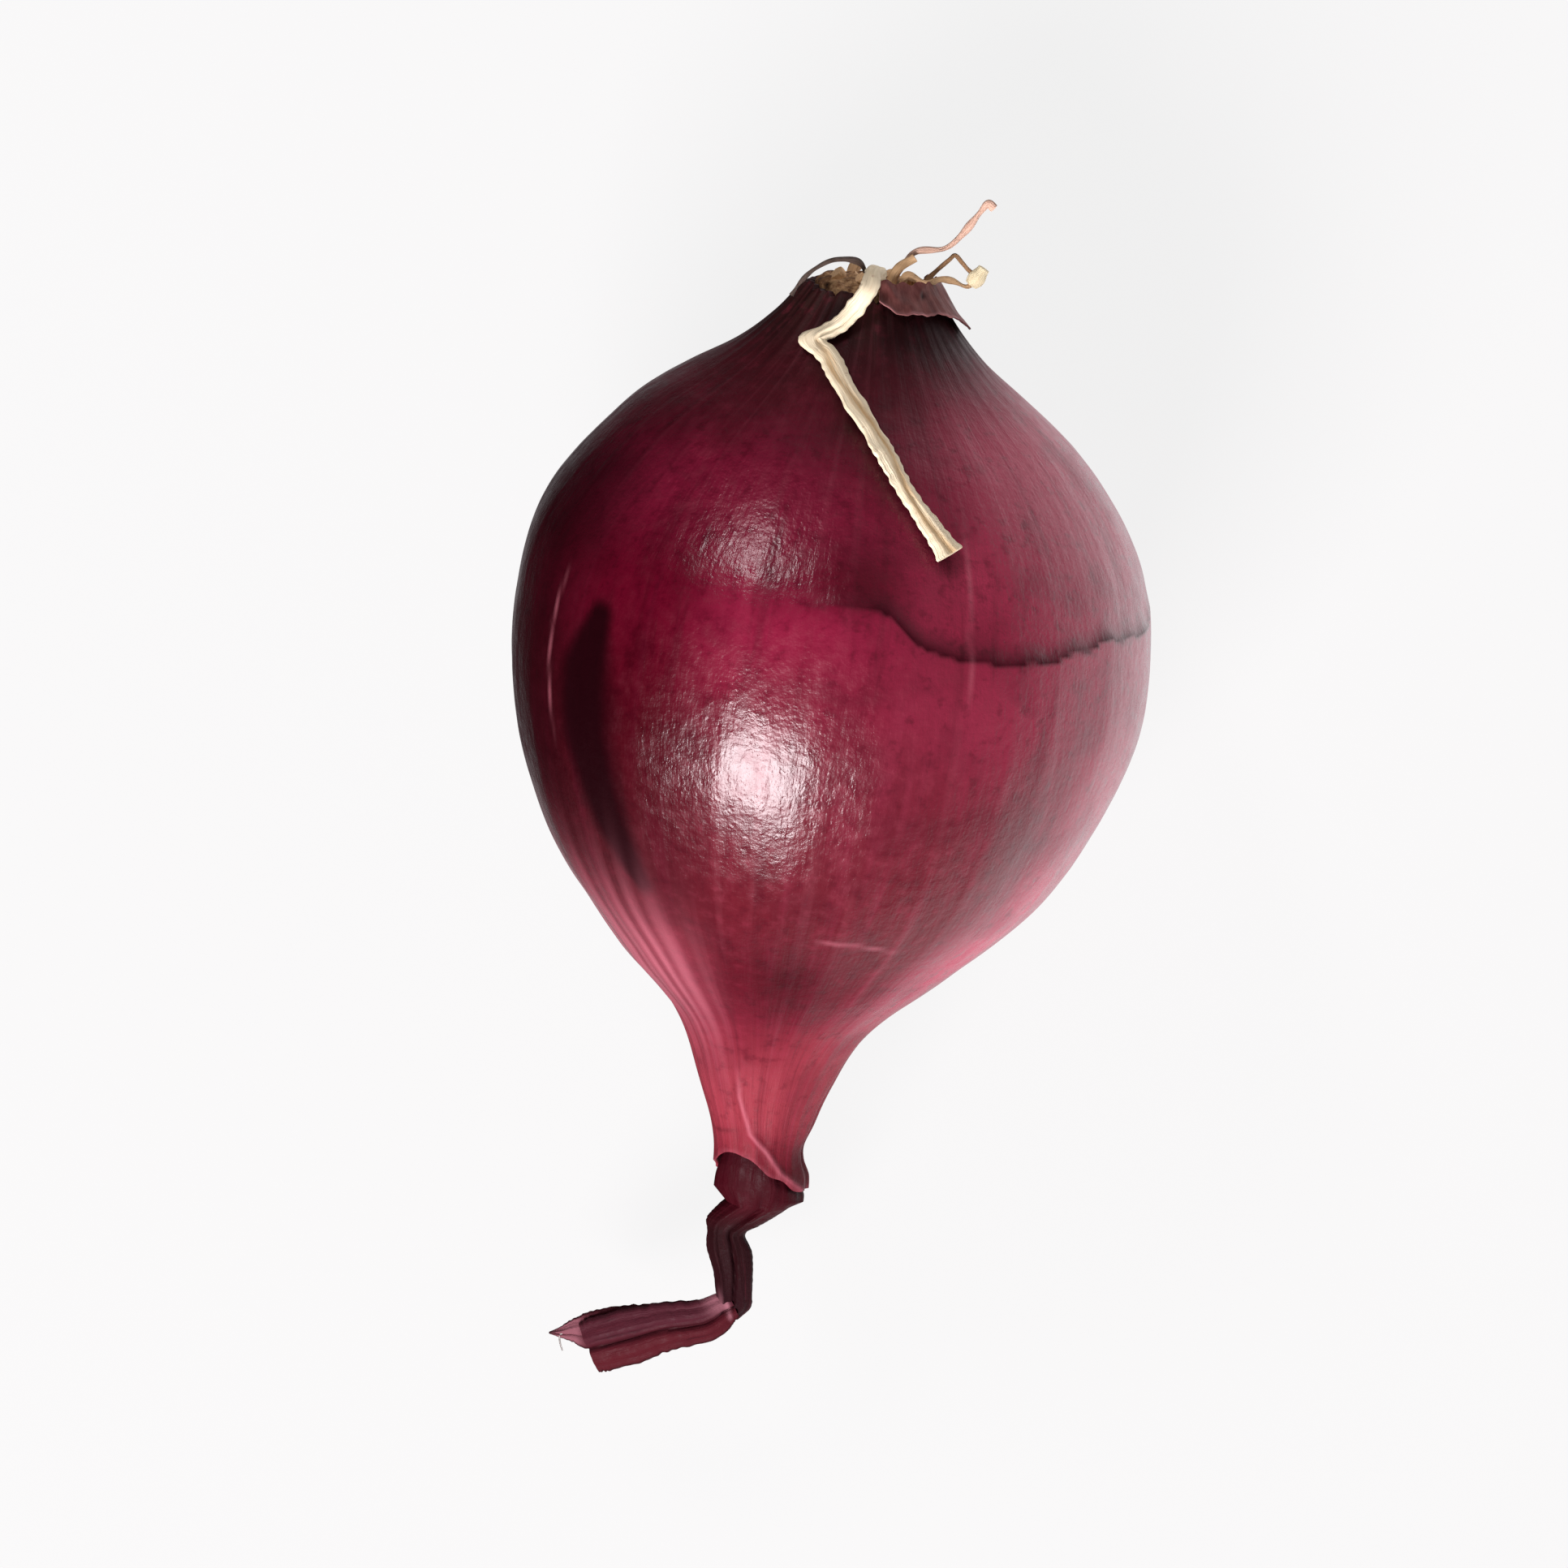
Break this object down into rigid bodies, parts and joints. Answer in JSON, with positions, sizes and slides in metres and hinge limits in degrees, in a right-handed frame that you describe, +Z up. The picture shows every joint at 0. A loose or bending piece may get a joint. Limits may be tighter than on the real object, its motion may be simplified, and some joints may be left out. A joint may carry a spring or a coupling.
{
  "type": "red onion",
  "caption": "Small red onion lying on its side, with a round glossy bulb, dried roots, torn skin at the root plate and a kinked withered leaf; food prop or planting set.",
  "frame": {"origin": "centre of the small flat spot on the belly, on the surface that the onion rests on", "axes": "+Z up, +Y towards the root plate, which is tipped up 9 degrees, -Y towards the neck, and the withered leaf folds towards -X"},
  "size_m": [0.0204, 0.0395, 0.0203],
  "materials": {
    "red_skin": "gloss",
    "dry_root": "matte",
    "dry_scrap": "satin",
    "withered_leaf": "matte"
  },
  "bodies": {
    "root": {"bulb": "red_skin", "basal_plate_and_roots": "dry_root", "torn_skin": "dry_scrap", "withered_leaf": "withered_leaf"}
  },
  "joints": []
}
